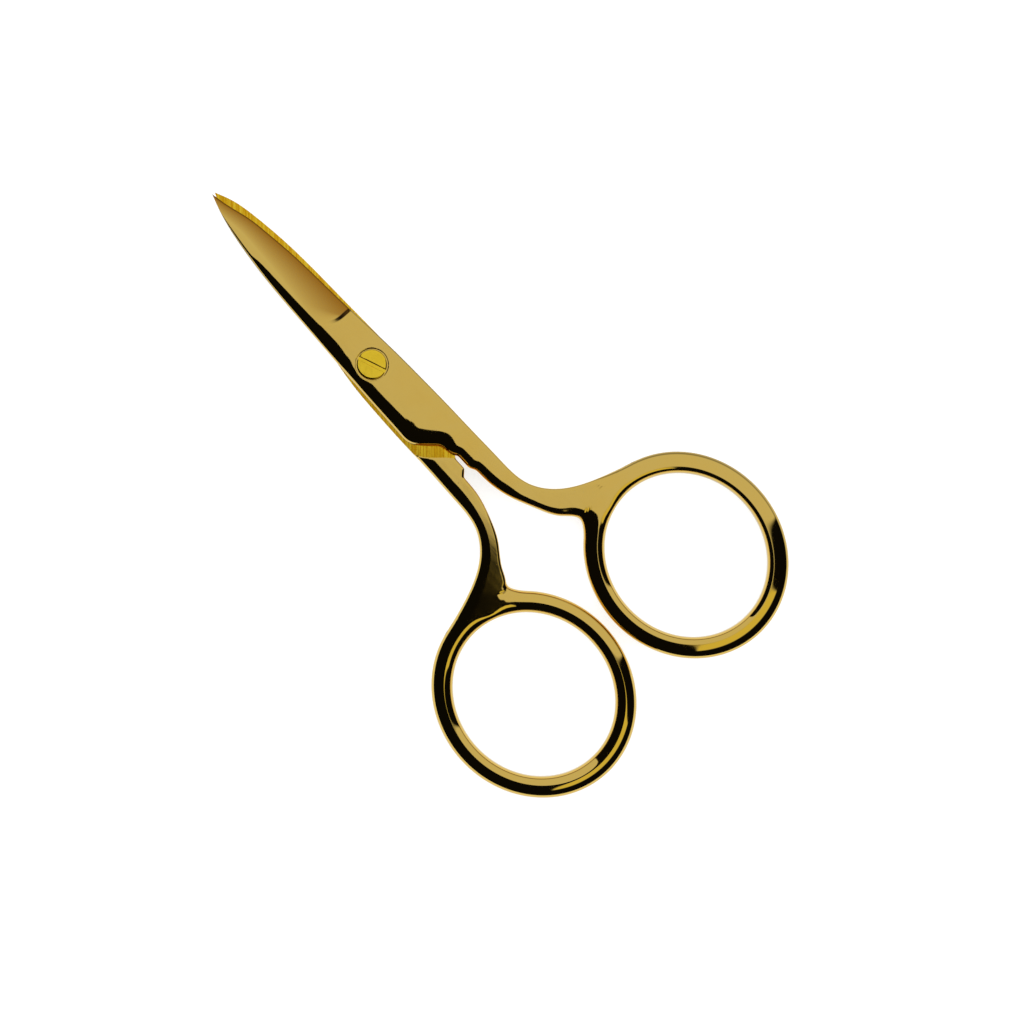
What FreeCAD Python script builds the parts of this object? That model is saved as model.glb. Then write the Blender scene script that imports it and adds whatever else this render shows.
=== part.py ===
"""Small gold-plated embroidery scissors, nearly closed.

Frame, millimetres: the origin is where the pivot's axis meets the surface that the scissors lie on.
+Y runs from the pivot to the points, +X to the right seen from above, +Z up.
Three pieces: front_half (upper blade, right-hand ring), back_half (lower blade, left-hand ring)
and the pivot_screw that holds them together.

Both halves are drawn the way the front one lies. The back one is then turned half a turn about +Y.
"""
import FreeCAD, Part
import math
import os
from FreeCAD import Vector

# Thicknesses
THICKNESS = 3.4  # the two blades together at the joint, and each shank just behind it
PARTING = THICKNESS / 2  # height of the plane where the halves meet
INNER_GAP = 0.02  # running gap between the two inner faces
RING_THICKNESS = 3.1
BACK_RADIUS = 0.9  # buffed rounding along the blade's back
BACK_ROUNDED_TO = 25.0  # where it runs out, short of the point
SHANK_EDGE_RADIUS = 1.0  # the same along the outside of the shank
SHANK_ROUNDED_TO = -27.0  # where it runs out, short of the ring
THINNING = (-18.0, -36.0)  # where the shank starts and ends thinning to the ring
OVERCUT = 5.0  # how far a cutter reaches past what it cuts

# Finger rings: an oval hole, and a band round it
RING_CENTRE = (13.43, -45.8)
RING_OUTER = (12.8, 14.0)  # half width, half length
RING_HOLE = (10.1, 11.1)

# Blade grind, from the flat outer face down to the cutting edge
GRIND_ANGLE = math.radians(27)
EDGE_LAND = 0.22  # thickness left at the cutting edge
GRIND_END = 7.3  # distance from the pivot to where the grind stops

# Pivot screw
HEAD_RADIUS = 1.95
HEAD_THICKNESS = 0.85
HEAD_SINK = 0.05  # how far the head lies below the outer face
HEAD_FLOOR_GAP = 0.03  # under the head
NECK_RADIUS = 1.05
NECK_CLEARANCE = 0.03
RECESS_RADIUS = 2.125
SLOT_WIDTH = 0.42
SLOT_DEPTH = 0.4
SLOT_TURN = 21  # degrees from +Y towards -X

# Outlines, x and y in mm, from the point of the blade towards the ring
POINT = (-0.4, 30.5)
BACK_OF_BLADE = [POINT, (-1.1, 28.0), (-1.78, 25.0), (-2.22, 22.0), (-2.62, 18.0), (-2.96, 10.0),
                 (-3.28, 0.0), (-3.42, -9.4)]
HEEL_CORNER = (-3.27, -10.6)
HEEL = [(-2.8, -11.5), (-1.3, -13.1), (-0.3, -14.1), (0.3, -15.2), (0.8, -17.0), (1.3, -20.0)]
CUTTING_EDGE = [POINT, (0.2, 28.0), (1.05, 25.0), (1.55, 22.0), (2.05, 18.0), (2.6, 10.0), (2.97, 5.0)]
STEP = [(3.5, -12.9), (2.4, -14.2), (1.3, -15.2), (0.24, -16.3)]
PLATE_END = (3.0, -16.5)  # where the blade's plate ends, inside the shank
SHANK_OUTER = [(3.95, -20.0), (4.55, -25.0), (6.7, -28.0), (11.1, -30.5), (17.2, -32.45)]
RING_ROOT = [(16.4, -33.69), (11.0, -33.53), (5.9, -36.3)]  # inside the ring's band
CROTCH = [(6.0, -32.25), (6.37, -33.0), (6.05, -34.0)]
CROTCH_END = (4.9, -35.3)

# The two forgings differ a little beside the joint and along the inside of the shank
FRONT = {
    "joint_side": [(3.35, 0.0), (3.58, -5.0), (3.72, -9.0)],
    "step_start": (3.79, -12.2),
    "shank_side": (3.86, -16.0),
    "stop_lug": [(0.24, -18.4), (0.72, -19.3)],
    "shank_inner": [(0.84, -21.5), (1.68, -25.0), (3.02, -28.0), (4.75, -31.0)],
}
BACK = {
    "joint_side": [(3.6, 0.0), (3.84, -5.0), (3.9, -9.0)],
    "step_start": (3.88, -12.2),
    "shank_side": (3.88, -16.0),
    "stop_lug": [(0.24, -18.1), (1.08, -18.9)],
    "shank_inner": [(1.2, -21.5), (2.1, -25.0), (3.4, -28.0), (5.35, -30.9)],
}


def at(point, z=0.0):
    return Vector(point[0], point[1], z)


def line(start, end):
    return Part.LineSegment(at(start), at(end)).toShape()


def curve(points):
    spline = Part.BSplineCurve()
    spline.interpolate([at(p) for p in points])
    return spline.toShape()


def arc(start, middle, end):
    return Part.Arc(at(start), at(middle), at(end)).toShape()


def prism(edges, low, high):
    """A closed outline made solid between two heights."""
    face = Part.Face(Part.Wire(edges))
    return face.extrude(Vector(0, 0, high - low)).translated(Vector(0, 0, low))


def blade_plate(half):
    """Blade, joint and the top of the shank: only above the parting plane."""
    side = CUTTING_EDGE + half["joint_side"] + [half["step_start"]]
    edges = [
        curve(BACK_OF_BLADE),
        arc(BACK_OF_BLADE[-1], HEEL_CORNER, HEEL[0]),
        curve(HEEL),
        line(HEEL[-1], PLATE_END),
        line(PLATE_END, half["step_start"]),
        curve(side[::-1]),
    ]
    plate = prism(edges, PARTING + INNER_GAP / 2, THICKNESS)
    return rounded(plate, BACK_RADIUS, lambda p: p.z > THICKNESS - 0.01 and p.x < 0 and p.y < BACK_ROUNDED_TO)


def shank_plate(half):
    """The shank from the step behind the joint to the root of the ring, at full thickness."""
    inner = [half["stop_lug"][1]] + half["shank_inner"] + [CROTCH[0]]
    outer = [half["step_start"], half["shank_side"]] + SHANK_OUTER
    edges = [
        curve(outer),
        line(outer[-1], RING_ROOT[0]),
        arc(*RING_ROOT),
        line(RING_ROOT[-1], CROTCH_END),
        line(CROTCH_END, CROTCH[-1]),
        arc(CROTCH[-1], CROTCH[1], CROTCH[0]),
        curve(inner[::-1]),
        line(half["stop_lug"][1], half["stop_lug"][0]),
        line(half["stop_lug"][0], STEP[-1]),
        curve(STEP[::-1] + [half["step_start"]]),
    ]
    plate = prism(edges, 0, THICKNESS)
    outside = SHANK_OUTER[0][0]
    return rounded(plate, SHANK_EDGE_RADIUS,
                   lambda p: abs(p.z - PARTING) > 1 and p.x > outside and p.y > SHANK_ROUNDED_TO)


def thinned_to_ring(plate):
    """Slopes both faces of the shank down to the ring's thickness."""
    start, end = THINNING
    drop = (THICKNESS - RING_THICKNESS) / 2 + 0.05
    wedge_points = [(start, 0), (end, drop), (end, -OVERCUT), (start, -OVERCUT)]
    length = 2 * RING_OUTER[0] + OVERCUT
    for flip in (1, -1):
        corners = [Vector(-OVERCUT, y, PARTING + flip * (PARTING - z)) for y, z in wedge_points]
        wedge = Part.Face(Part.makePolygon(corners + corners[:1])).extrude(Vector(length, 0, 0))
        plate = plate.cut(wedge)
    return plate


def finger_ring():
    """An oval band of oval section: a torus stretched along each axis."""
    middle = [(o + h) / 2 for o, h in zip(RING_OUTER, RING_HOLE)]
    band = [o - h for o, h in zip(RING_OUTER, RING_HOLE)]
    radius = sum(middle) / 2
    section = sum(band) / 4
    torus = Part.makeTorus(radius, section)
    stretch = FreeCAD.Matrix()
    stretch.scale(middle[0] / radius, middle[1] / radius, RING_THICKNESS / 2 / section)
    return torus.transformGeometry(stretch).translated(at(RING_CENTRE, PARTING))


def ground(plate):
    """Cuts the sloping grind, facet by facet along the cutting edge, from the grind's end to the point."""
    reach = (THICKNESS - PARTING) / math.tan(GRIND_ANGLE)
    low = PARTING + EDGE_LAND
    edge = curve(CUTTING_EDGE).Curve
    stations = [POINT]
    for y in (28.0, 25.0, 21.0, 16.0, 11.5, GRIND_END):
        hit = edge.intersectCC(Part.Line(Vector(0, y, 0), Vector(1, y, 0)))[0]
        stations.append((hit.X, y))
    for (x, y), (next_x, next_y) in zip(stations, stations[1:]):
        corners = [Vector(x - reach, y, THICKNESS + EDGE_LAND), Vector(x, y, low),
                   Vector(x + OVERCUT, y, low), Vector(x + OVERCUT, y, THICKNESS + OVERCUT),
                   Vector(x - reach, y, THICKNESS + OVERCUT)]
        profile = Part.Face(Part.makePolygon(corners + corners[:1]))
        plate = plate.cut(profile.extrude(Vector(next_x - x, next_y - y, 0)))
    return plate


def rounded(solid, radius, wanted):
    """Rounds the edges whose middle point is wanted."""
    picked = []
    for edge in solid.Edges:
        middle = edge.valueAt((edge.FirstParameter + edge.LastParameter) / 2)
        if wanted(middle):
            picked.append(edge)
    return solid.makeFillet(radius, picked)


def pivot_hole():
    recess_floor = THICKNESS - HEAD_SINK - HEAD_THICKNESS - HEAD_FLOOR_GAP
    recess = Part.makeCylinder(RECESS_RADIUS, THICKNESS, Vector(0, 0, recess_floor))
    bore = Part.makeCylinder(NECK_RADIUS + NECK_CLEARANCE, THICKNESS)
    return recess.fuse(bore)


def half_blank(half):
    blank = ground(blade_plate(half)).fuse(thinned_to_ring(shank_plate(half)))
    return blank.fuse(finger_ring()).removeSplitter()


def front_half():
    return half_blank(FRONT).cut(pivot_hole())


def back_half():
    blank = half_blank(BACK)
    blank.rotate(Vector(0, 0, PARTING), Vector(0, 1, 0), 180)
    return blank.cut(Part.makeCylinder(NECK_RADIUS, PARTING))


def pivot_screw():
    top = THICKNESS - HEAD_SINK
    head = Part.makeCylinder(HEAD_RADIUS, HEAD_THICKNESS, Vector(0, 0, top - HEAD_THICKNESS))
    stem = Part.makeCylinder(NECK_RADIUS, top - HEAD_THICKNESS / 2)
    length = 4 * HEAD_RADIUS
    slot = Part.makeBox(SLOT_WIDTH, length, SLOT_DEPTH)
    slot.translate(Vector(-SLOT_WIDTH / 2, -length / 2, top - SLOT_DEPTH))
    slot.rotate(Vector(0, 0, 0), Vector(0, 0, 1), SLOT_TURN)
    return head.fuse(stem).removeSplitter().cut(slot)


os.makedirs("parts", exist_ok=True)
for name, make in (("front_half", front_half), ("back_half", back_half), ("pivot_screw", pivot_screw)):
    shape = make()
    piece = shape.Solids[0]
    print(name, "solids", len(shape.Solids), "valid", piece.isValid(), "volume %.1f mm3" % piece.Volume)
    piece.exportStep("parts/%s.step" % name)
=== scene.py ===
import math

import bmesh
import bpy
import numpy as np
from mathutils import Matrix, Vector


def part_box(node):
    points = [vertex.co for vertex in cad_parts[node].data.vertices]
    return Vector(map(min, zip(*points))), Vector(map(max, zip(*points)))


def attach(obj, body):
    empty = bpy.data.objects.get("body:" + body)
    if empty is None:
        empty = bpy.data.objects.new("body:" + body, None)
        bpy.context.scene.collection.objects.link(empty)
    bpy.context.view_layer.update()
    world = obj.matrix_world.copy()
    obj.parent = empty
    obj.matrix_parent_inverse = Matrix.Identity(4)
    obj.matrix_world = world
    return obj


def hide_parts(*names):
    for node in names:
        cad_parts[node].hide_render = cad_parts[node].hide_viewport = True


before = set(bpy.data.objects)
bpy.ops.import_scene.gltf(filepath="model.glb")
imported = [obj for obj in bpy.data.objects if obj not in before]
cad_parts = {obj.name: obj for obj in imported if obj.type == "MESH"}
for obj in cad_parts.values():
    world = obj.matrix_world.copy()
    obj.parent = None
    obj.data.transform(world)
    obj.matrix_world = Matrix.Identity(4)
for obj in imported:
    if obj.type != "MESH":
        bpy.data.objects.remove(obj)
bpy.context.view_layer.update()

# ---------------------------------------------------------------------------------------------------------
# Front half. The upper forging: blade, joint, shank and finger ring in one piece of steel, ground on the
# blade's outer face, polished and gold plated. Its ring lies to the right, and it turns on the screw.
# Sizes are in millimetres, in the frame's own axes, and go to metres when the mesh is made.
MM = 0.001
low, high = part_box("front_half")
TOP = high.z / MM
PARTING = TOP / 2
INNER_FACE = PARTING + 0.01
THINNING = 18.0, 36.0  # behind the pivot, where the shank starts and ends thinning to the ring
RING_THICKNESS = 3.1
POINT = (-0.32, high.y / MM)
RING_REACH = 12.8, 14.0
RING_HOLE = 10.1, 11.1
RING_ROUNDING = 1.15
RING_BLEND = 4.6, 2.85  # widths of band between which the shank's flat turns into the ring's round section
HOLE_EDGE = 0.75, 0.8  # width and depth of the rounding at the hole where the shank runs into the ring
RING_CENTRE = high.x / MM - RING_REACH[0] - 0.01, low.y / MM + RING_REACH[1]
ROOT_LEFT, ROOT_RIGHT = math.radians(131.8), math.radians(72.9)
RECESS_RADIUS = 2.12
RECESS_FLOOR = 2.47
BORE_RADIUS = 1.07
HOLE_LIP = 0.05  # rounding at the mouth of a hole

BACK_OF_BLADE = [POINT, (-1.1, 28.0), (-1.78, 25.0), (-2.22, 22.0), (-2.62, 18.0), (-2.96, 10.0),
                 (-3.28, 0.0), (-3.42, -9.0)]
HEEL = [(-3.42, -9.0), (-3.4, -10.2), (-3.15, -11.0), (-2.7, -11.65), (-1.3, -13.1), (-0.62, -13.85),
        (-0.42, -14.7), (-0.22, -15.6), (0.24, -16.3)]
CUTTING_EDGE = [POINT, (0.2, 28.0), (1.05, 25.0), (1.55, 22.0), (2.05, 18.0), (2.6, 10.0), (2.97, 5.0)]
SHANK_OUTER = [(3.95, -20.0), (4.55, -25.0), (6.7, -28.0), (11.1, -30.5), (17.2, -32.42)]
CROTCH = [(6.0, -32.25), (6.37, -33.0), (6.0, -34.05), (4.9, -35.36)]
STEP = [(3.5, -12.9), (2.4, -14.2), (1.3, -15.2), (0.24, -16.3)]

# Rounding of the edges: a place along Y, then the width or the depth there
EDGE_WIDTH = [(-33, 1.2), (-31, 0.9), (-28.5, 0.8), (-26, 0.9), (-24, 1.2), (-16.5, 1.15), (-15, 1.45),
              (-14, 1.9), (-10.5, 2.1), (-9.3, 2.1), (-8, 1.8), (-2, 1.55), (-1, 1.35), (0, 1.1), (1.5, 1.2),
              (3, 1.5), (5, 1.7), (8, 1.55), (12, 1.3), (15, 1.15), (18, 0.95), (19.6, 0.75), (21, 0.34),
              (25, 0.26), (30.5, 0.1)]
EDGE_DEPTH = [(-30, 0.85), (-16, 0.85), (-13, 1.0), (-9, 1.0), (0, 0.85), (18, 0.62), (21, 0.6), (30.5, 0.1)]
LOWER_EDGE_WIDTH = [(-32, 1.4), (-20, 1.5), (-12, 1.3)]
LOWER_EDGE_DEPTH = 0.95
PLAIN_EDGE = 0.3

# Grind of the blade
PLUNGE_WALL = 6.9, 7.6  # in front of the pivot, where the wall at the grind's end stops and starts
GRIND_FROM = 7.2  # no rounding on the cutting edge in front of this
EDGE_LAND = 0.09
BEVEL_WIDTH, BEVEL_SLOPE = 0.2, 0.9
GRIND_SLOPE = 0.52
FLATTER_AT_POINT = 0.06
POINT_TAPER = 0.8
HOLLOW_DEPTH = 0.08


def lengths_along(line):
    return np.concatenate([[0], np.cumsum(np.hypot(*np.diff(line, axis=0).T))])


def smooth_curve(points, spacing=0.05):
    """A natural cubic spline through the points, at an even spacing."""
    p = np.array(points, float)
    t = lengths_along(p)
    gap = np.diff(t)
    system = np.eye(len(p))
    pull = np.zeros_like(p)
    for i in range(1, len(p) - 1):
        system[i, i - 1:i + 2] = gap[i - 1], 2 * (gap[i - 1] + gap[i]), gap[i]
        pull[i] = 6 * ((p[i + 1] - p[i]) / gap[i] - (p[i] - p[i - 1]) / gap[i - 1])
    bend = np.linalg.solve(system, pull)
    at = np.linspace(0, t[-1], max(3, int(t[-1] / spacing)))
    i = np.clip(np.searchsorted(t, at, side="right") - 1, 0, len(gap) - 1)
    a, b = (t[i + 1] - at)[:, None], (at - t[i])[:, None]
    h = gap[i][:, None]
    return ((bend[i] * a ** 3 + bend[i + 1] * b ** 3) / (6 * h)
            + (p[i] / h - bend[i] * h / 6) * a + (p[i + 1] / h - bend[i + 1] * h / 6) * b)


def joined(*curves):
    return np.concatenate([curves[0]] + [c[1:] for c in curves[1:]])


def softened(curve, reach=3):
    """Takes the last kinks out of a line and leaves its two ends where they are."""
    weights = np.exp(-0.5 * (np.arange(-3 * reach, 3 * reach + 1) / reach) ** 2)
    weights /= weights.sum()
    before = 2 * curve[0] - curve[3 * reach:0:-1]
    after = 2 * curve[-1] - curve[-2:-3 * reach - 2:-1]
    padded = np.concatenate([before, curve, after])
    return np.stack([np.convolve(padded[:, k], weights, "valid") for k in (0, 1)], 1)


def oval(reach, angles):
    return np.stack([RING_CENTRE[0] + reach[0] * np.cos(angles),
                     RING_CENTRE[1] + reach[1] * np.sin(angles)], 1)


def ring_turn(points):
    """How far round the ring each point lies, as an angle."""
    return np.arctan2((points[:, 1] - RING_CENTRE[1]) / RING_REACH[1],
                      (points[:, 0] - RING_CENTRE[0]) / RING_REACH[0])


def smoothstep(x, start, end):
    t = np.clip((x - start) / (end - start), 0, 1)
    return t * t * (3 - 2 * t)


def nearest(points, line):
    """Distance from each point to a line, and the place on it, counted along its own points."""
    stride = 6
    away = np.empty(len(points))
    place = np.empty(len(points))
    for first in range(0, len(points), 2000):
        p = points[first:first + 2000]
        rough = ((p[:, None, :] - line[None, ::stride]) ** 2).sum(2).argmin(1) * stride
        window = np.clip(rough[:, None] + np.arange(-stride - 1, stride + 2), 0, len(line) - 1)
        closest = ((p[:, None, :] - line[window]) ** 2).sum(2).argmin(1)
        i = np.take_along_axis(window, closest[:, None], 1)[:, 0]
        best = np.full(len(p), 1e9)
        where = i.astype(float)
        for j in (np.maximum(i - 1, 0), np.minimum(i, len(line) - 2)):
            a, b = line[j], line[j + 1]
            t = np.clip(((p - a) * (b - a)).sum(1) / ((b - a) ** 2).sum(1), 0, 1)
            d = np.hypot(*(p - a - t[:, None] * (b - a)).T)
            closer = d < best
            best = np.where(closer, d, best)
            where = np.where(closer, j + t, where)
        away[first:first + 2000] = best
        place[first:first + 2000] = where
    return away, place


class Forging:
    """The outline and the two faces of one half, drawn as the front half lies."""

    def __init__(self, joint_side, step_start, shank_side, lug, shank_inner, ridge, tip=CUTTING_EDGE[:3]):
        self.left = softened(joined(
            smooth_curve([tip[0]] + BACK_OF_BLADE[1:]), smooth_curve(HEEL), smooth_curve([HEEL[-1], lug[0]]),
            smooth_curve(lug), smooth_curve([lug[1]] + shank_inner + CROTCH)))
        side = tip + CUTTING_EDGE[3:] + joint_side + [step_start, shank_side] + SHANK_OUTER
        self.right = softened(smooth_curve(side))
        self.step_start = step_start
        self.lug = lug
        self.shank_inner = shank_inner
        self.ridge = ridge
        round_ring = oval(RING_REACH, np.linspace(ROOT_LEFT, 2 * math.pi + ROOT_RIGHT, 1200))
        self.left[-1], self.right[-1] = round_ring[0], round_ring[-1]
        self.edge = joined(self.left, round_ring, self.right[::-1])
        self.left_end = len(self.left) - 1
        self.right_start = len(self.left) + len(round_ring) - 2
        self.hole = oval(RING_HOLE, np.linspace(0, 2 * math.pi, 1400))
        self.step = smooth_curve([step_start] + STEP)

    def ring_ridge(self, points, upper):
        """How far across the band its highest line lies, from 0 at the hole to 1 at the outside."""
        middle, swing, towards = self.ridge[0 if upper else 1]
        return np.clip(middle + swing * np.cos(ring_turn(points) - math.radians(towards)), 0.06, 0.94)

    def edge_rounding(self, place, upper):
        """Width and depth of the rounding at a place along the edge."""
        y = np.interp(place, np.arange(len(self.edge)), self.edge[:, 1])
        on_left = place < self.left_end
        on_right = place > self.right_start
        if not upper:
            wide = np.where(on_right, np.interp(y, *zip(*LOWER_EDGE_WIDTH)), PLAIN_EDGE)
            return wide, np.where(on_right, LOWER_EDGE_DEPTH, PLAIN_EDGE)
        elsewhere = np.where(on_right & (y > GRIND_FROM), 0.0, PLAIN_EDGE)
        wide = np.where(on_left, np.interp(y, *zip(*EDGE_WIDTH)), elsewhere)
        deep = np.where(on_left, np.interp(y, *zip(*EDGE_DEPTH)), elsewhere)
        return wide, deep

    def face_drop(self, points, upper):
        """How far the face lies under its flat, over the rounded edges and the rounded ring."""
        away, place = nearest(points, self.edge)
        wide, deep = self.edge_rounding(place, upper)
        from_hole, _ = nearest(points, self.hole)
        band = away + from_hole
        ridge = self.ring_ridge(points, upper)
        near_ring = smoothstep(-band, -RING_BLEND[0], -RING_BLEND[1])
        outer_half = np.maximum(band * (1 - ridge), 0.05)
        wide = wide + (outer_half - wide) * near_ring
        deep = deep + (RING_ROUNDING - deep) * near_ring
        hole_half = HOLE_EDGE[0] + (np.maximum(band * ridge, 0.05) - HOLE_EDGE[0]) * near_ring
        hole_deep = HOLE_EDGE[1] + (RING_ROUNDING - HOLE_EDGE[1]) * near_ring
        return rounded_corner(away, wide, deep) + rounded_corner(from_hole, hole_half, hole_deep)

    def upper_face(self, points, marks=False):
        """Height of the outer face, or with marks the share of ground tint (partly painted shade) and of
        painted shade on the plunge wall there.
        """
        x, y = points.T
        flat = TOP - (TOP - RING_THICKNESS) / 2 * smoothstep(-y, *THINNING)
        flat = flat - POINT_TAPER * np.clip((y - 6) / 25, 0, 1) ** 1.2
        height = flat - self.face_drop(points, True)
        from_edge, _ = nearest(points, self.right)
        plunge = y - 0.3 * np.clip((1.4 - x) / 1.4, 0, 2) ** 2
        blade = smoothstep(plunge, *PLUNGE_WALL)
        slope = GRIND_SLOPE - FLATTER_AT_POINT * smoothstep(y, 12, 24)
        bevel = BEVEL_SLOPE * np.minimum(from_edge, BEVEL_WIDTH)
        grind = INNER_FACE + EDGE_LAND + bevel + slope * np.maximum(from_edge - BEVEL_WIDTH, 0)
        soft = 0.2 - 0.12 * smoothstep(y, 18, 29)
        ground = height - soft * np.log1p(np.exp(np.clip((height - grind) / soft, -40, 40)))
        ground = np.minimum(ground, grind)
        if marks:
            # Ground tint: partly the duller, unlacquered satin of the grind, partly painted shade that
            # deepens towards the cutting edge in place of the darker reflection off the tilted ground face.
            reach = 4.5 - 0.16 * np.clip(y - 8, 0, 22)
            grind_tint_and_shade = np.clip(1 - (from_edge - 0.1) / reach, 0, 1) ** 0.8
            begins = smoothstep(y, 7.0, 7.5 + 2.2 * np.clip(from_edge - 1.4, 0, 2))
            # Painted shade: the wall where the grind runs out is marked to be painted near black, as if in
            # shade.
            wall = np.minimum(8 * blade * (1 - blade), 1) * smoothstep(height - ground, 0.03, 0.6)
            return grind_tint_and_shade * begins, wall
        return np.maximum(height + (ground - height) * blade, INNER_FACE + 0.03)

    def lower_face(self, points):
        y = points[:, 1]
        height = (TOP - RING_THICKNESS) / 2 * smoothstep(-y, *THINNING) + self.face_drop(points, False)
        from_step, _ = nearest(points, self.step)
        return height + rounded_corner(from_step, np.full(len(points), 0.16), np.full(len(points), 0.14))

    def inner_face(self, points):
        """The flat that rubs on the other half, hollow ground along the middle of the blade."""
        y = points[:, 1]
        across, _ = nearest(points, self.edge)
        return INNER_FACE + HOLLOW_DEPTH * smoothstep(y, 9, 14) * smoothstep(across, 1.0, 2.3)


def rounded_corner(away, width, drop):
    """Drop of a quarter-round edge at a distance from it."""
    reach = np.clip(1 - away / np.maximum(width, 1e-6), 0, 1)
    return np.where(width > 0, drop * (1 - np.sqrt(np.clip(1 - reach ** 2, 0, 1))), 0)


# Lanes of quads along the half, closest together at its edges
LEFT_LANES = [0, 0.01, 0.03, 0.065, 0.11, 0.17, 0.24, 0.32, 0.42, 0.52, 0.64, 0.76, 0.88, 1.0, 1.12, 1.24,
              1.36, 1.48, 1.6, 1.72, 1.86, 2.0]
RIGHT_LANES = [0, 0.01, 0.03, 0.065, 0.11, 0.17, 0.24, 0.34, 0.5, 0.72]
MIDDLE_LANES = 14
STEP_ROWS, ROOT_ROWS = 14, 32  # rows over which the lanes bend to follow the step and the ring's root


def lanes(width):
    """Places across a row, close together at its rounded sides, as shares of the row's width."""
    squeeze = min(1.0, width / 4.4)
    left = np.array(LEFT_LANES) * squeeze
    right = width - np.array(RIGHT_LANES[::-1]) * squeeze
    middle = np.linspace(left[-1], right[0], MIDDLE_LANES + 2)[1:-1]
    return np.concatenate([left, middle, right]) / max(width, 1e-9)


def lay_rows(forging):
    """Rows of points across the half from the blade's point to the ring, and the row along the step."""
    def place(line, x, y):
        return ((line - (x, y)) ** 2).sum(1).argmin()

    def level(line, y):
        upto = line[:int(len(line) * 0.95)]
        return np.abs(upto[:, 1] - y).argmin()

    left, right = forging.left, forging.right
    inner = forging.shank_inner
    stops = [
        (0, 0, 1),
        (level(left, 27.5), level(right, 27.5), 16),
        (level(left, 8.3), level(right, 8.3), 66),
        (level(left, 6.5), level(right, 6.5), 30),
        (level(left, 3.0), level(right, 3.0), 10),
        (level(left, -3.0), level(right, -3.0), 18),
        (place(left, *HEEL[0]), level(right, -6.4), 18),
        (place(left, *HEEL[3]), level(right, -8.4), 20),
        (place(left, *HEEL[5]), level(right, -10.3), 18),
        (place(left, *HEEL[-1]), level(right, forging.step_start[1]), 16),
        (place(left, *forging.lug[0]), level(right, -15.6), 14),
        (place(left, *forging.lug[1]), level(right, -17.2), 9),
        (place(left, *inner[1]), level(right, -23.8), 18),
        (place(left, *inner[3]), place(right, 7.6, -28.8), 26),
        (place(left, *CROTCH[1]), place(right, 11.1, -30.5), 14),
        (len(left) - 1, len(right) - 1, 18),
    ]
    rows, marks = [], []
    for k, (i, j, count) in enumerate(stops):
        i0, j0, _ = stops[k - 1] if k else stops[0]
        for n in range(1, count + 1):
            a = i0 + (i - i0) * n / count
            b = j0 + (j - j0) * n / count
            rows.append((on_line(left, a), on_line(right, b)))
        marks.append(len(rows) - 1)
    step_row, last = marks[9], len(rows) - 1
    step = forging.step[::-1]
    root = oval(RING_REACH, np.linspace(ROOT_LEFT, ROOT_RIGHT, 400))
    grid = []
    for n, (a, b) in enumerate(rows[:-1]):
        share = lanes(np.hypot(*(b - a)))
        row = a + share[:, None] * (b - a)
        for line, near in ((step, 1 - abs(n - step_row) / STEP_ROWS), (root, 1 - (last - n) / ROOT_ROWS)):
            if near > 0:
                straight = line[0] + share[:, None] * (line[-1] - line[0])
                row = row + near * (along(line, share) - straight)
        grid.append(row)
    grid.append(along(root, lanes(lengths_along(root)[-1])))
    return np.array(grid), step_row, marks


def on_line(line, place):
    i = min(int(place), len(line) - 2)
    return line[i] + (place - i) * (line[i + 1] - line[i])


def along(line, share):
    """Points on a line at the given shares of its length."""
    run = lengths_along(line)
    return np.stack([np.interp(share * run[-1], run, line[:, k]) for k in (0, 1)], 1)


def evened_lanes(share):
    """Evens out the lanes past the middle of the band, where the ring runs on into the shank."""
    late = share >= 0.4
    evened = share.copy()
    evened[late] = np.linspace(share[late][0], 1, late.sum())
    return evened


class Skin:
    """Collects quads as separate sheets, and sews the sheets together where their edges meet."""

    def __init__(self):
        self.points = []
        self.faces = []

    def sheet(self, grid, wrap=False):
        """grid[row][column] of points; wrap joins the last column to the first."""
        grid = np.asarray(grid, float)
        rows, columns = grid.shape[:2]
        start = sum(len(p) for p in self.points)
        self.points.append(grid.reshape(-1, 3))
        for r in range(rows - 1):
            for c in range(columns if wrap else columns - 1):
                d = (c + 1) % columns
                self.faces.append((start + r * columns + c, start + r * columns + d,
                                   start + (r + 1) * columns + d, start + (r + 1) * columns + c))

    def make(self, name, turn=None, forging=None):
        mesh = bpy.data.meshes.new(name)
        mesh.from_pydata((np.concatenate(self.points) * MM).tolist(), [], self.faces)
        bm = bmesh.new()
        bm.from_mesh(mesh)
        bmesh.ops.remove_doubles(bm, verts=bm.verts, dist=4e-7)
        bmesh.ops.dissolve_degenerate(bm, edges=bm.edges, dist=1e-8)
        if forging:
            mark_finishes(bm, forging)
        if turn:
            bmesh.ops.transform(bm, matrix=turn, verts=bm.verts)
        bmesh.ops.recalc_face_normals(bm, faces=bm.faces)
        for face in bm.faces:
            face.smooth = True
        for edge in bm.edges:
            edge.smooth = len(edge.link_faces) == 2 and edge.calc_face_angle() < math.radians(38)
        bm.to_mesh(mesh)
        bm.free()
        thing = bpy.data.objects.new(name, mesh)
        bpy.context.scene.collection.objects.link(thing)
        even = thing.modifiers.new("even_shading", "WEIGHTED_NORMAL")
        even.keep_sharp = True
        even.weight = 80
        return thing


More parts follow.
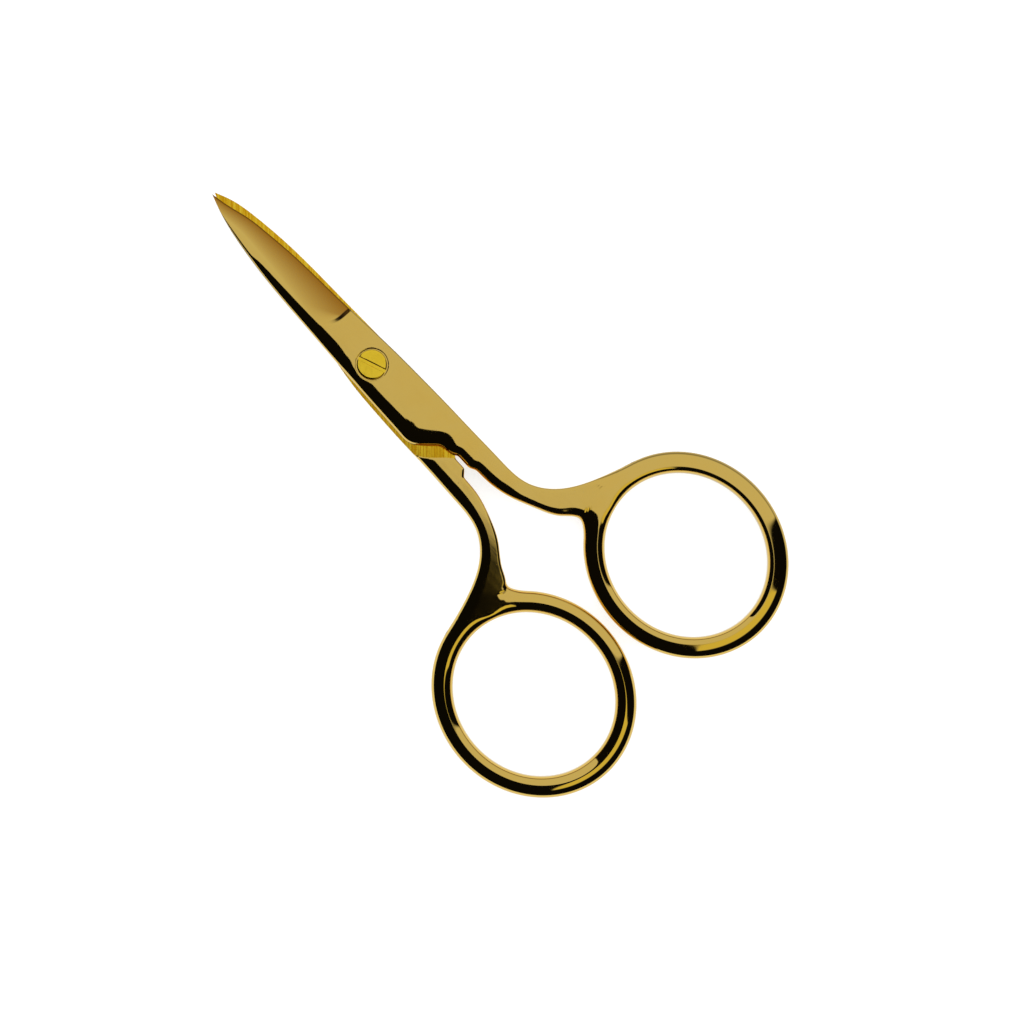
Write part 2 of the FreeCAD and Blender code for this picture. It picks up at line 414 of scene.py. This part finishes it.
def mark_finishes(bm, forging):
    """Marks where the blade is ground, where the plunge wall is painted dark as shade, and the flats that
    rub on the other half.
    """
    ground = bm.verts.layers.float.new("ground")
    plunge = bm.verts.layers.float.new("plunge")
    flat = np.array([v.co[:] for v in bm.verts]) / MM
    upper = flat[:, 2] > INNER_FACE + 0.02
    shares = forging.upper_face(flat[:, :2], marks=True)
    for v, grind_tint_and_shade, wall in zip(bm.verts, shares[0] * upper, shares[1] * upper):
        v[ground] = grind_tint_and_shade
        v[plunge] = wall
    rubbing = bm.faces.layers.float.new("rubbing")
    for face in bm.faces:
        face.normal_update()
        height = face.calc_center_median().z / MM
        face[rubbing] = float(abs(face.normal.z) > 0.9 and INNER_FACE - 0.02 < height < INNER_FACE + 0.12)


def raised(flat, height):
    flat = np.asarray(flat)
    return np.concatenate([flat, np.asarray(height).reshape(flat.shape[:-1] + (1,))], -1)


def on_face(face, flat):
    shape = flat.shape
    return raised(flat, face(flat.reshape(-1, 2)).reshape(shape[:-1]))


def wall(upper, lower, levels):
    """A wall between two rows of points, one over the other."""
    share = np.linspace(0, 1, levels + 1)[:, None, None]
    return upper[None] * (1 - share) + lower[None] * share


def pierced(skin, face, grid, rows, columns, radius, lip):
    """Lays a face as quads, but rings of quads inside a block of it, down to a round hole."""
    (r0, r1), (c0, c1) = rows, columns
    skin.sheet(on_face(face, grid[:r0 + 1]))
    skin.sheet(on_face(face, grid[r0:r1 + 1, :c0 + 1]))
    skin.sheet(on_face(face, grid[r0:r1 + 1, c1:]))
    block = np.concatenate([grid[r0, c0:c1], grid[r0:r1, c1], grid[r1, c1:c0:-1], grid[r1:r0:-1, c0]])
    turn = np.arctan2(block[:, 1], block[:, 0])
    hole = radius * np.stack([np.cos(turn), np.sin(turn)], 1)
    steps = np.array([0, 0.16, 0.32, 0.48, 0.62, 0.74, 0.84, 0.91, 0.955, 0.98, 1.0])[:, None, None]
    rings = block[None] * (1 - steps) + hole[None] * steps
    lifted = on_face(face, rings)
    away = np.hypot(rings[..., 0], rings[..., 1]) - radius
    even_lip = np.full(away.size, lip)
    lifted[..., 2] -= rounded_corner(away.ravel(), even_lip, even_lip).reshape(away.shape)
    skin.sheet(lifted, wrap=True)
    return lifted[-1]


def forge(name, forging, recess, turn=None):
    """The whole half as one closed mesh."""
    grid, step_row, marks = lay_rows(forging)
    plate, shank = grid[:step_row + 1], grid[step_row:]
    skin = Skin()
    middle = 10, len(LEFT_LANES) + MIDDLE_LANES + 1
    block = (marks[4], marks[5]), middle
    hole = RECESS_RADIUS if recess else BORE_RADIUS
    rim = pierced(skin, forging.upper_face, grid[:marks[5] + 1], *block, hole, HOLE_LIP)
    skin.sheet(on_face(forging.upper_face, grid[marks[5]:]))
    inner = pierced(skin, forging.inner_face, plate[:marks[5] + 1], *block, BORE_RADIUS, 0.0)
    skin.sheet(on_face(forging.inner_face, plate[marks[5]:]))
    skin.sheet(on_face(forging.lower_face, shank))
    bore_top = inner.copy()
    if recess:
        bore_top[:, 2] = RECESS_FLOOR
        floor_edge = rim.copy()
        floor_edge[:, 2] = RECESS_FLOOR
        skin.sheet(wall(rim, floor_edge, 4), wrap=True)
        skin.sheet(wall(floor_edge, bore_top, 3), wrap=True)
    else:
        bore_top = rim
    skin.sheet(wall(bore_top, inner, 4), wrap=True)

    for side in (0, -1):
        brink = on_face(forging.upper_face, plate[:, side])
        skin.sheet(wall(brink, on_face(forging.inner_face, plate[:, side]), 3))
        brink = on_face(forging.upper_face, shank[:, side])
        middle_line = on_face(forging.inner_face, shank[:, side])
        skin.sheet(wall(brink, middle_line, 3))
        skin.sheet(wall(middle_line, on_face(forging.lower_face, shank[:, side]), 3))
    step = grid[step_row]
    skin.sheet(wall(on_face(forging.inner_face, step), on_face(forging.lower_face, step), 3))

    root = grid[-1]
    free_turn = np.linspace(ROOT_LEFT, ROOT_RIGHT + 2 * math.pi, 221)
    band_width = RING_REACH[0] - RING_HOLE[0]
    near = np.array([lane for lane in LEFT_LANES if lane < band_width / 2 - 0.05])
    share = np.concatenate([near, [band_width / 2], band_width - near[::-1]]) / band_width
    free_edge = oval(RING_REACH, free_turn)
    for turns, outside, at_root in ((ring_turn(root), root, 1.0), (free_turn, free_edge, 0.0)):
        inside = oval(RING_HOLE, turns)
        through = (turns - turns[0]) / (turns[-1] - turns[0])
        spread = at_root * smoothstep(np.minimum(through, 1 - through), 0.0, 0.3)
        across = np.where(share[:, None] < 0.4, share[:, None],
                          share[:, None] + spread[None] * (evened_lanes(share) - share)[:, None])[..., None]
        band = inside[None] * (1 - across) + outside[None] * across
        upper, lower = on_face(forging.upper_face, band), on_face(forging.lower_face, band)
        skin.sheet(upper)
        skin.sheet(lower)
        skin.sheet(wall(upper[0], lower[0], 6))
    middle_line = on_face(forging.inner_face, band[-1])
    skin.sheet(wall(upper[-1], middle_line, 3))
    skin.sheet(wall(middle_line, lower[-1], 3))
    return skin.make(name, turn, forging)


def plain_group(name, inputs, outputs):
    group = bpy.data.node_groups.new(name, "ShaderNodeTree")
    for label, kind, value in inputs:
        socket = group.interface.new_socket(label, in_out="INPUT", socket_type=kind)
        socket.default_value = value
    for label, kind in outputs:
        group.interface.new_socket(label, in_out="OUTPUT", socket_type=kind)
    return group, group.nodes.new("NodeGroupInput"), group.nodes.new("NodeGroupOutput")


def node(tree, kind, link=(), **settings):
    """Adds a node, sets its values, and links (output, input) pairs into it."""
    made = tree.nodes.new(kind)
    for key, value in settings.items():
        if hasattr(made, key):
            setattr(made, key, value)
        else:
            made.inputs[key.replace("_", " ")].default_value = value
    for out, into in link:
        tree.links.new(out, made.inputs[into])
    return made


def math_node(tree, operation, a, b=None, clamp=False):
    made = node(tree, "ShaderNodeMath", operation=operation, use_clamp=clamp)
    for k, value in enumerate((a, b)):
        if value is None:
            continue
        if isinstance(value, (int, float)):
            made.inputs[k].default_value = value
        else:
            tree.links.new(value, made.inputs[k])
    return made.outputs[0]


def span(tree, value, low, high, to_low=0.0, to_high=1.0, smooth=True):
    made = node(tree, "ShaderNodeMapRange", interpolation_type="SMOOTHSTEP" if smooth else "LINEAR")
    tree.links.new(value, made.inputs[0])
    for k, number in enumerate((low, high, to_low, to_high)):
        made.inputs[k + 1].default_value = number
    return made.outputs[0]


def blend_colours(tree, share, a, b, how="MIX"):
    made = node(tree, "ShaderNodeMix", data_type="RGBA", blend_type=how)
    for value, k in ((share, 0), (a, 6), (b, 7)):
        if isinstance(value, (int, float, tuple)):
            made.inputs[k].default_value = value
        else:
            tree.links.new(value, made.inputs[k])
    return made.outputs[2]


def buffing_marks():
    """What a buffing wheel leaves under bright plating: cloudy gloss, fine hairlines and a few pits."""
    group, given, out = plain_group(
        "buffing_marks",
        [("Along", "NodeSocketVector", (2600.0, 220.0, 2600.0)), ("Haze", "NodeSocketFloat", 0.05),
         ("Gloss", "NodeSocketFloat", 0.07)],
        [("Roughness", "NodeSocketFloat"), ("Height", "NodeSocketFloat"), ("Tarnish", "NodeSocketFloat")])
    where = node(group, "ShaderNodeTexCoord").outputs["Object"]
    stretched = node(group, "ShaderNodeVectorMath", [(where, 0), (given.outputs["Along"], 1)],
                     operation="MULTIPLY")
    hairlines = node(group, "ShaderNodeTexNoise", [(stretched.outputs[0], "Vector")], Scale=1.0, Detail=3.0)
    cloud = node(group, "ShaderNodeTexNoise", [(where, "Vector")], Scale=170.0, Detail=4.0, Roughness=0.6)
    patch = node(group, "ShaderNodeTexNoise", [(where, "Vector")], Scale=48.0, Detail=2.0)
    pits = node(group, "ShaderNodeTexVoronoi", [(where, "Vector")], Scale=900.0)
    pit = span(group, pits.outputs["Distance"], 0.05, 0.12, 1.0, 0.0)
    cloudy = span(group, cloud.outputs["Fac"], 0.42, 0.72)
    fine = span(group, hairlines.outputs["Fac"], 0.35, 0.7)
    dulled = math_node(group, "ADD", math_node(group, "MULTIPLY", cloudy, 0.6),
                       math_node(group, "MULTIPLY", fine, 0.4))
    haze = math_node(group, "MULTIPLY", dulled, given.outputs["Haze"])
    relief = math_node(group, "SUBTRACT", math_node(group, "MULTIPLY", hairlines.outputs["Fac"], 0.5),
                       math_node(group, "MULTIPLY", pit, 0.4))
    group.links.new(math_node(group, "ADD", haze, given.outputs["Gloss"]), out.inputs["Roughness"])
    group.links.new(relief, out.inputs["Height"])
    group.links.new(math_node(group, "MULTIPLY", patch.outputs["Fac"], cloudy), out.inputs["Tarnish"])
    return group


def grinding_lines():
    """The close parallel lines of a grinding wheel, running across the part, uneven in depth."""
    group, given, out = plain_group(
        "grinding_lines",
        [("Across", "NodeSocketVector", (5200.0, 160.0, 400.0)), ("Turn", "NodeSocketFloat", 0.0)],
        [("Height", "NodeSocketFloat"), ("Dullness", "NodeSocketFloat")])
    where = node(group, "ShaderNodeTexCoord").outputs["Object"]
    swung = node(group, "ShaderNodeVectorRotate", [(where, "Vector"), (given.outputs["Turn"], "Angle")])
    stretched = node(group, "ShaderNodeVectorMath", [(swung.outputs[0], 0), (given.outputs["Across"], 1)],
                     operation="MULTIPLY")
    lines = node(group, "ShaderNodeTexNoise", [(stretched.outputs[0], "Vector")], Scale=1.0, Detail=2.0)
    uneven = node(group, "ShaderNodeTexNoise", [(where, "Vector")], Scale=420.0, Detail=3.0)
    depth = span(group, uneven.outputs["Fac"], 0.3, 0.7, 0.5)
    group.links.new(math_node(group, "MULTIPLY", lines.outputs["Fac"], depth), out.inputs["Height"])
    group.links.new(span(group, lines.outputs["Fac"], 0.3, 0.7), out.inputs["Dullness"])
    return group


GOLD = 0.83, 0.555, 0.085, 1.0
WARM_GOLD = 0.85, 0.54, 0.06, 1.0
# Dark brown of the ground face: partly its satin finish, partly painted shade.
GROUND_GOLD_WITH_PAINTED_SHADE = 0.43, 0.178, 0.004, 1.0
RUBBED_GOLD = 1.0, 0.69, 0.04, 1.0
STREAKED_GOLD = 0.98, 0.49, 0.006, 1.0
# Near black, painted as shade on the plunge wall.
SHADED_GOLD = 0.02, 0.01, 0.002, 1.0
LACQUER = 0.8
LACQUER_IOR = 1.7
GRINDING_TURN = math.radians(42.5)
buffing, grinding = buffing_marks(), grinding_lines()


def polished_gold_plate():
    finish = bpy.data.materials.new("polished_gold_plate")
    finish.use_nodes = True
    tree = finish.node_tree
    shader = tree.nodes["Principled BSDF"]
    shader.inputs["Metallic"].default_value = 1.0
    shader.inputs["Coat Roughness"].default_value = 0.03
    shader.inputs["Coat IOR"].default_value = LACQUER_IOR
    marks = node(tree, "ShaderNodeGroup", node_tree=buffing)
    marks.inputs["Haze"].default_value = 0.025
    marks.inputs["Gloss"].default_value = 0.03
    lines = node(tree, "ShaderNodeGroup", node_tree=grinding)
    lines.inputs["Turn"].default_value = GRINDING_TURN
    ground = node(tree, "ShaderNodeAttribute", attribute_name="ground").outputs["Fac"]
    rubbing = node(tree, "ShaderNodeAttribute", attribute_name="rubbing").outputs["Fac"]
    plunge = node(tree, "ShaderNodeAttribute", attribute_name="plunge").outputs["Fac"]

    plate = blend_colours(tree, marks.outputs["Tarnish"], GOLD, WARM_GOLD)
    # Ground face: satin tint, partly painted shade that is darkest at the cutting edge.
    plate = blend_colours(tree, ground, plate, GROUND_GOLD_WITH_PAINTED_SHADE)
    # Painted shade: the plunge wall is darkened nearly to black.
    plate = blend_colours(tree, plunge, plate, SHADED_GOLD)
    rubbed = blend_colours(tree, lines.outputs["Dullness"], RUBBED_GOLD, STREAKED_GOLD)
    plate = blend_colours(tree, rubbing, plate, rubbed)
    tree.links.new(plate, shader.inputs["Base Color"])

    bare = math_node(tree, "MAXIMUM", math_node(tree, "MAXIMUM", plunge, rubbing),
                     math_node(tree, "MULTIPLY", ground, 0.75))
    lacquered = math_node(tree, "MULTIPLY", math_node(tree, "SUBTRACT", 1.0, bare), LACQUER)
    tree.links.new(lacquered, shader.inputs["Coat Weight"])

    satin = math_node(tree, "ADD", math_node(tree, "MULTIPLY", lines.outputs["Dullness"], 0.06),
                      math_node(tree, "ADD", math_node(tree, "MULTIPLY", rubbing, -0.07), 0.13))
    rough = node(tree, "ShaderNodeMix", [(math_node(tree, "MAXIMUM", ground, rubbing), 0),
                                         (marks.outputs["Roughness"], 2), (satin, 3)], data_type="FLOAT")
    tree.links.new(rough.outputs[0], shader.inputs["Roughness"])

    scored = math_node(tree, "ADD", math_node(tree, "MULTIPLY", ground, 0.08),
                       math_node(tree, "MULTIPLY", rubbing, 0.25))
    height = math_node(tree, "ADD", math_node(tree, "MULTIPLY", marks.outputs["Height"], 0.12),
                       math_node(tree, "MULTIPLY", lines.outputs["Height"], scored))
    relief = node(tree, "ShaderNodeBump", [(height, "Height")], Strength=0.25, Distance=0.00002)
    tree.links.new(relief.outputs["Normal"], shader.inputs["Normal"])
    return finish


gold = polished_gold_plate()
front = forge("front_half_forging", Forging(
    joint_side=[(3.35, 0.0), (3.58, -5.0), (3.72, -9.0)], step_start=(3.79, -12.2), shank_side=(3.86, -16.0),
    lug=[(0.24, -18.4), (0.72, -19.3)],
    shank_inner=[(0.84, -21.5), (1.68, -25.0), (3.02, -28.0), (4.75, -31.0)],
    ridge=((0.31, 0.04, 180), (0.5, 0.0, 180))), recess=True)
front.data.materials.append(gold)
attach(front, "front")
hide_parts("front_half")

# ---------------------------------------------------------------------------------------------------------
# Back half. The same gold-plated forging turned over, lying under the front one with its ring to the left.
# It differs a little beside the joint and along the inside of the shank. The screw's stem is fixed in it.
parting_plane = Matrix.Translation((0, 0, PARTING * MM))
over = parting_plane @ Matrix.Rotation(math.pi, 4, "Y") @ parting_plane.inverted()
back = forge("back_half_forging", Forging(
    joint_side=[(3.6, 0.0), (3.84, -5.0), (3.9, -9.0)], step_start=(3.88, -12.2), shank_side=(3.88, -16.0),
    lug=[(0.24, -18.1), (1.08, -18.9)],
    shank_inner=[(1.2, -21.5), (2.1, -25.0), (3.4, -28.0), (5.35, -30.9)],
    ridge=((0.5, 0.0, 0), (0.45, 0.05, 180)),
    tip=[(-0.08, 30.42), (0.85, 28.0), (1.3, 25.0)]), recess=False, turn=over)
back.data.materials.append(gold)
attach(back, "back")
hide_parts("back_half")

# ---------------------------------------------------------------------------------------------------------
# Pivot screw. A turned steel screw with a flat slotted head sunk in the front half, gold plated like it. Its
# stem is screwed into the back half and dressed flush underneath.
HEAD_RADIUS = 1.95
HEAD_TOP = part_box("pivot_screw")[1].z / MM
HEAD_SEAT = HEAD_TOP - 0.85
STEM_RADIUS = 1.05
STEM_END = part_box("pivot_screw")[0].z / MM
SLOT_WIDTH = 0.42
SLOT_FLOOR = HEAD_TOP - 0.4
SLOT_TURN = 21.0
RIM_ROUNDING = 0.12
SLOT_LIP = 0.05, 0.04  # width and drop of the rounding beside the slot

def turned(radii, heights, angles):
    """Rows round an axis, one for each radius and height."""
    return np.array([[(r * math.cos(a), r * math.sin(a), z) for a in angles]
                     for r, z in zip(radii, heights)])


def slotted_screw():
    """One closed mesh: each half of the slotted head, then the underside of the head and the stem."""
    skin = Skin()
    half = SLOT_WIDTH / 2
    bend = np.linspace(0, math.pi / 2, 6)
    rim_r = HEAD_RADIUS - RIM_ROUNDING + RIM_ROUNDING * np.sin(bend)
    rim_z = HEAD_TOP - RIM_ROUNDING + RIM_ROUNDING * np.cos(bend)
    levels_r = np.concatenate([rim_r, [HEAD_RADIUS, HEAD_RADIUS]])
    levels_z = np.concatenate([rim_z, [(rim_z[-1] + SLOT_FLOOR) / 2, SLOT_FLOOR]])
    share = (1 - np.cos(np.linspace(0, math.pi, 41))) / 2 * 2 - 1
    for side in (1, -1):
        reach = np.sqrt(levels_r ** 2 - half ** 2)
        edge_v = reach[:, None] * share[None]
        edge_u = np.sqrt(np.maximum(levels_r[:, None] ** 2 - edge_v ** 2, 0))
        edge_u[:, 0] = edge_u[:, -1] = half
        heights = np.repeat(levels_z[:, None], len(share), 1)
        skin.sheet(np.stack([side * edge_u, edge_v, heights], -1))
        across = np.array([0, 0.02, 0.05, 0.1, 0.2, 0.35, 0.5, 0.65, 0.8, 0.9, 1.0])[:, None]
        face_u = half + (edge_u[0] - half) * across
        lip_width, lip_drop = (np.full(face_u.size, size) for size in SLOT_LIP)
        lip = rounded_corner((face_u - half).ravel(), lip_width, lip_drop).reshape(face_u.shape)
        lip[:, 0] = lip[:, -1] = 0
        lip[-1] = 0
        skin.sheet(np.stack([side * face_u, np.repeat(edge_v[:1], len(across), 0), HEAD_TOP - lip], -1))
        slot_z = heights.copy()
        slot_z[0] = HEAD_TOP - lip[0]
        skin.sheet(np.stack([np.full_like(edge_v, side * half), edge_v, slot_z], -1))
        floor_v = edge_v[-1]
        floor_u = np.array([0.0, 0.5, 1.0])[:, None] * half * np.ones_like(floor_v)
        floor = np.stack([side * floor_u, np.repeat(floor_v[None], 3, 0),
                          np.full_like(floor_u, SLOT_FLOOR)], -1)
        turn = np.arcsin(np.clip(np.abs(floor[:, 0, 0]) / HEAD_RADIUS, 0, 1))
        floor[:, 0, 1] = -HEAD_RADIUS * np.cos(turn)
        floor[:, -1, 1] = HEAD_RADIUS * np.cos(turn)
        skin.sheet(floor)
    rim_turn = np.arctan2(edge_v[-1], edge_u[-1])
    mouth = math.asin(0.5 * half / HEAD_RADIUS)
    top = math.pi / 2 + np.array([-mouth, 0.0, mouth])
    full = np.concatenate([rim_turn, top, math.pi - rim_turn[::-1], top + math.pi])
    below_r = [HEAD_RADIUS, HEAD_RADIUS, HEAD_RADIUS - 0.03, STEM_RADIUS, STEM_RADIUS, STEM_RADIUS,
               STEM_RADIUS - 0.06, 0.7, 0.35, 0.001]
    below_z = [SLOT_FLOOR, HEAD_SEAT + 0.03, HEAD_SEAT, HEAD_SEAT, PARTING, STEM_END + 0.06, STEM_END + 0.01,
               STEM_END + 0.003, STEM_END, STEM_END]
    skin.sheet(turned(below_r, below_z, full), wrap=True)
    return skin.make("slotted_pivot_screw", Matrix.Rotation(math.radians(SLOT_TURN), 4, "Z"))


SCREW_GOLD = 1.0, 0.70, 0.045, 1.0
WARM_SCREW_GOLD = 1.0, 0.63, 0.02, 1.0
FACING_PITCH = 0.00011  # metres between the turned rings left by facing the head


def screw_gold_plate():
    finish = bpy.data.materials.new("screw_gold_plate")
    finish.use_nodes = True
    tree = finish.node_tree
    shader = tree.nodes["Principled BSDF"]
    shader.inputs["Metallic"].default_value = 1.0
    marks = node(tree, "ShaderNodeGroup", node_tree=buffing)
    marks.inputs["Haze"].default_value = 0.04
    marks.inputs["Gloss"].default_value = 0.04
    marks.inputs["Along"].default_value = 1500.0, 1500.0, 1500.0
    where = node(tree, "ShaderNodeTexCoord").outputs["Object"]
    x, y, _ = node(tree, "ShaderNodeSeparateXYZ", [(where, 0)]).outputs
    squares = math_node(tree, "ADD", math_node(tree, "MULTIPLY", x, x), math_node(tree, "MULTIPLY", y, y))
    from_axis = math_node(tree, "SQRT", squares)
    facing = math_node(tree, "SINE", math_node(tree, "MULTIPLY", from_axis, 2 * math.pi / FACING_PITCH))
    plate = blend_colours(tree, marks.outputs["Tarnish"], SCREW_GOLD, WARM_SCREW_GOLD)
    tree.links.new(plate, shader.inputs["Base Color"])
    tree.links.new(marks.outputs["Roughness"], shader.inputs["Roughness"])
    height = math_node(tree, "ADD", math_node(tree, "MULTIPLY", facing, 0.015), marks.outputs["Height"])
    relief = node(tree, "ShaderNodeBump", [(height, "Height")], Strength=0.3, Distance=0.00001)
    tree.links.new(relief.outputs["Normal"], shader.inputs["Normal"])
    return finish


screw = slotted_screw()
screw.data.materials.append(screw_gold_plate())
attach(screw, "back")
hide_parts("pivot_screw")

# ---------------------------------------------------------------------------------------------------------
# Studio. A seamless paper sweep under the scissors, lit by a soft light overhead. In reflections the paper
# shows painted light instead, glowing brighter on one side. Round about it are a pale reflector, a warmer
# fill panel and a dark room, which polished metal needs to show its shape.
SWEEP_PROFILE = [(0.3, 0.0), (1.0, 0.0), (2.0, 0.0), (2.6, 0.03), (3.0, 0.12)]
SWEEP_SIDES = 48

def sweep():
    """A wide floor that turns up gently at its far edges, a hair below the scissors."""
    bm = bmesh.new()
    turns = np.linspace(0, 2 * math.pi, SWEEP_SIDES, endpoint=False)
    circles = [[bm.verts.new((r * math.cos(a), r * math.sin(a), z - 1e-5)) for a in turns]
               for r, z in SWEEP_PROFILE]
    bm.faces.new(circles[0])
    for inner, outer in zip(circles, circles[1:]):
        for k in range(SWEEP_SIDES):
            after = (k + 1) % SWEEP_SIDES
            bm.faces.new((inner[k], outer[k], outer[after], inner[after]))
    for face in bm.faces:
        face.smooth = True
    mesh = bpy.data.meshes.new("paper_sweep")
    bm.to_mesh(mesh)
    bm.free()
    thing = bpy.data.objects.new("paper_sweep", mesh)
    bpy.context.scene.collection.objects.link(thing)
    return thing


def heading(degrees):
    return math.cos(math.radians(degrees)), math.sin(math.radians(degrees))


PAPER_WHITE = 0.93, 0.93, 0.93, 1.0
PAPER_PALE = 0.96, 0.96, 0.955, 1.0
floor = sweep()
paper = bpy.data.materials.new("white_paper")
paper.use_nodes = True
tree = paper.node_tree
fibres = node(tree, "ShaderNodeTexNoise", [(node(tree, "ShaderNodeTexCoord").outputs["Object"], "Vector")],
              Scale=900.0, Detail=3.0)
diffuse = tree.nodes["Principled BSDF"]
mottled = blend_colours(tree, fibres.outputs["Fac"], PAPER_WHITE, PAPER_PALE)
tree.links.new(mottled, diffuse.inputs["Base Color"])
diffuse.inputs["Roughness"].default_value = 0.9
diffuse.inputs["Specular IOR Level"].default_value = 0.0
ray = node(tree, "ShaderNodeLightPath")
white = node(tree, "ShaderNodeEmission", Strength=1.12)
washed_out = math_node(tree, "MULTIPLY", ray.outputs["Is Camera Ray"], 0.62)
seen = node(tree, "ShaderNodeMixShader", [(washed_out, 0), (diffuse.outputs[0], 1), (white.outputs[0], 2)])
# Painted light: to glossy rays the paper glows instead of being lit. It is brighter on the side away from
# heading 30 degrees and dimmer towards it, a painted pool of light for the metal to reflect.
outward = node(tree, "ShaderNodeVectorMath", [(node(tree, "ShaderNodeTexCoord").outputs["Object"], 0)],
               operation="NORMALIZE")
facing = node(tree, "ShaderNodeVectorMath", [(outward.outputs[0], 0)], operation="DOT_PRODUCT")
facing.inputs[1].default_value = *heading(30), 0.0
painted_light_falloff = span(tree, facing.outputs["Value"], -0.25, 0.5, 0.86, 0.28)
painted_floor_glow = node(tree, "ShaderNodeEmission", [(painted_light_falloff, "Strength")])
mirrored = node(tree, "ShaderNodeMixShader", [(ray.outputs["Is Glossy Ray"], 0), (seen.outputs[0], 1),
                                              (painted_floor_glow.outputs[0], 2)])
tree.links.new(mirrored.outputs[0], tree.nodes["Material Output"].inputs["Surface"])
floor.data.materials.append(paper)

overhead = bpy.data.lights.new("overhead_softbox", "SUN")
overhead.energy = 4.6
overhead.angle = math.radians(150)
overhead_lamp = bpy.data.objects.new("overhead_softbox", overhead)
overhead_lamp.visible_glossy = False
bpy.context.scene.collection.objects.link(overhead_lamp)


DARK_ROOM = 0.004


def studio_surround():
    """Brightness by direction: a pale reflector, a warm fill and a dark room between."""
    world = bpy.data.worlds.new("studio_surround")
    world.use_nodes = True
    bpy.context.scene.world = world
    tree = world.node_tree
    direction = node(tree, "ShaderNodeTexCoord").outputs["Generated"]
    x, y, z = node(tree, "ShaderNodeSeparateXYZ", [(direction, 0)]).outputs

    def side(degrees, offset, soft):
        """1 on the side of a straight edge overhead that the heading points to."""
        c, s = heading(degrees)
        reach = math_node(tree, "ADD", math_node(tree, "MULTIPLY", x, c), math_node(tree, "MULTIPLY", y, s))
        reach = math_node(tree, "SUBTRACT", reach, math_node(tree, "MULTIPLY", z, offset))
        return span(tree, reach, -soft, soft)

    def both(a, b):
        return math_node(tree, "MULTIPLY", a, b)

    def either(a, b):
        return math_node(tree, "MAXIMUM", a, b)

    reflector = both(both(side(3, -0.0105, 0.0022), side(30, -0.022, 0.004)), side(72, -0.042, 0.02))
    fill = both(both(side(320, 0.046, 0.012), side(210, -0.005, 0.01)), side(90, -0.62, 0.05))
    level = span(tree, z, 0.0, 0.3, 0.2, 0.655)
    glow = math_node(tree, "ADD", both(either(reflector, fill), level), DARK_ROOM)
    warm = both(fill, math_node(tree, "SUBTRACT", 1.0, reflector))
    tint = blend_colours(tree, warm, (1.0, 1.0, 1.0, 1.0), (1.08, 1.0, 0.35, 1.0))
    background = tree.nodes["Background"]
    tree.links.new(blend_colours(tree, glow, (0.0, 0.0, 0.0, 1.0), tint), background.inputs["Color"])
    background.inputs["Strength"].default_value = 1.0


studio_surround()
bpy.context.scene.view_settings.view_transform = "Standard"

# ---------------------------------------------------------------------------------------------------------
# Camera. A long lens straight above the middle of the scissors, half a metre up, turned so that the blades
# point to the upper left and the rings lie at the lower right.
FRAME_WIDTH = 0.1331
CAMERA_HEIGHT = 0.5
lens = bpy.data.cameras.new("overhead_camera")
lens.sensor_width = 36.0
lens.lens = lens.sensor_width * CAMERA_HEIGHT / FRAME_WIDTH
lens.clip_end = 20.0
camera = bpy.data.objects.new("overhead_camera", lens)
camera.location = 0.0005, -0.0264, CAMERA_HEIGHT + 0.0025
camera.rotation_euler = 0.0, 0.0, math.radians(-42.5)
bpy.context.scene.collection.objects.link(camera)
bpy.context.scene.camera = camera
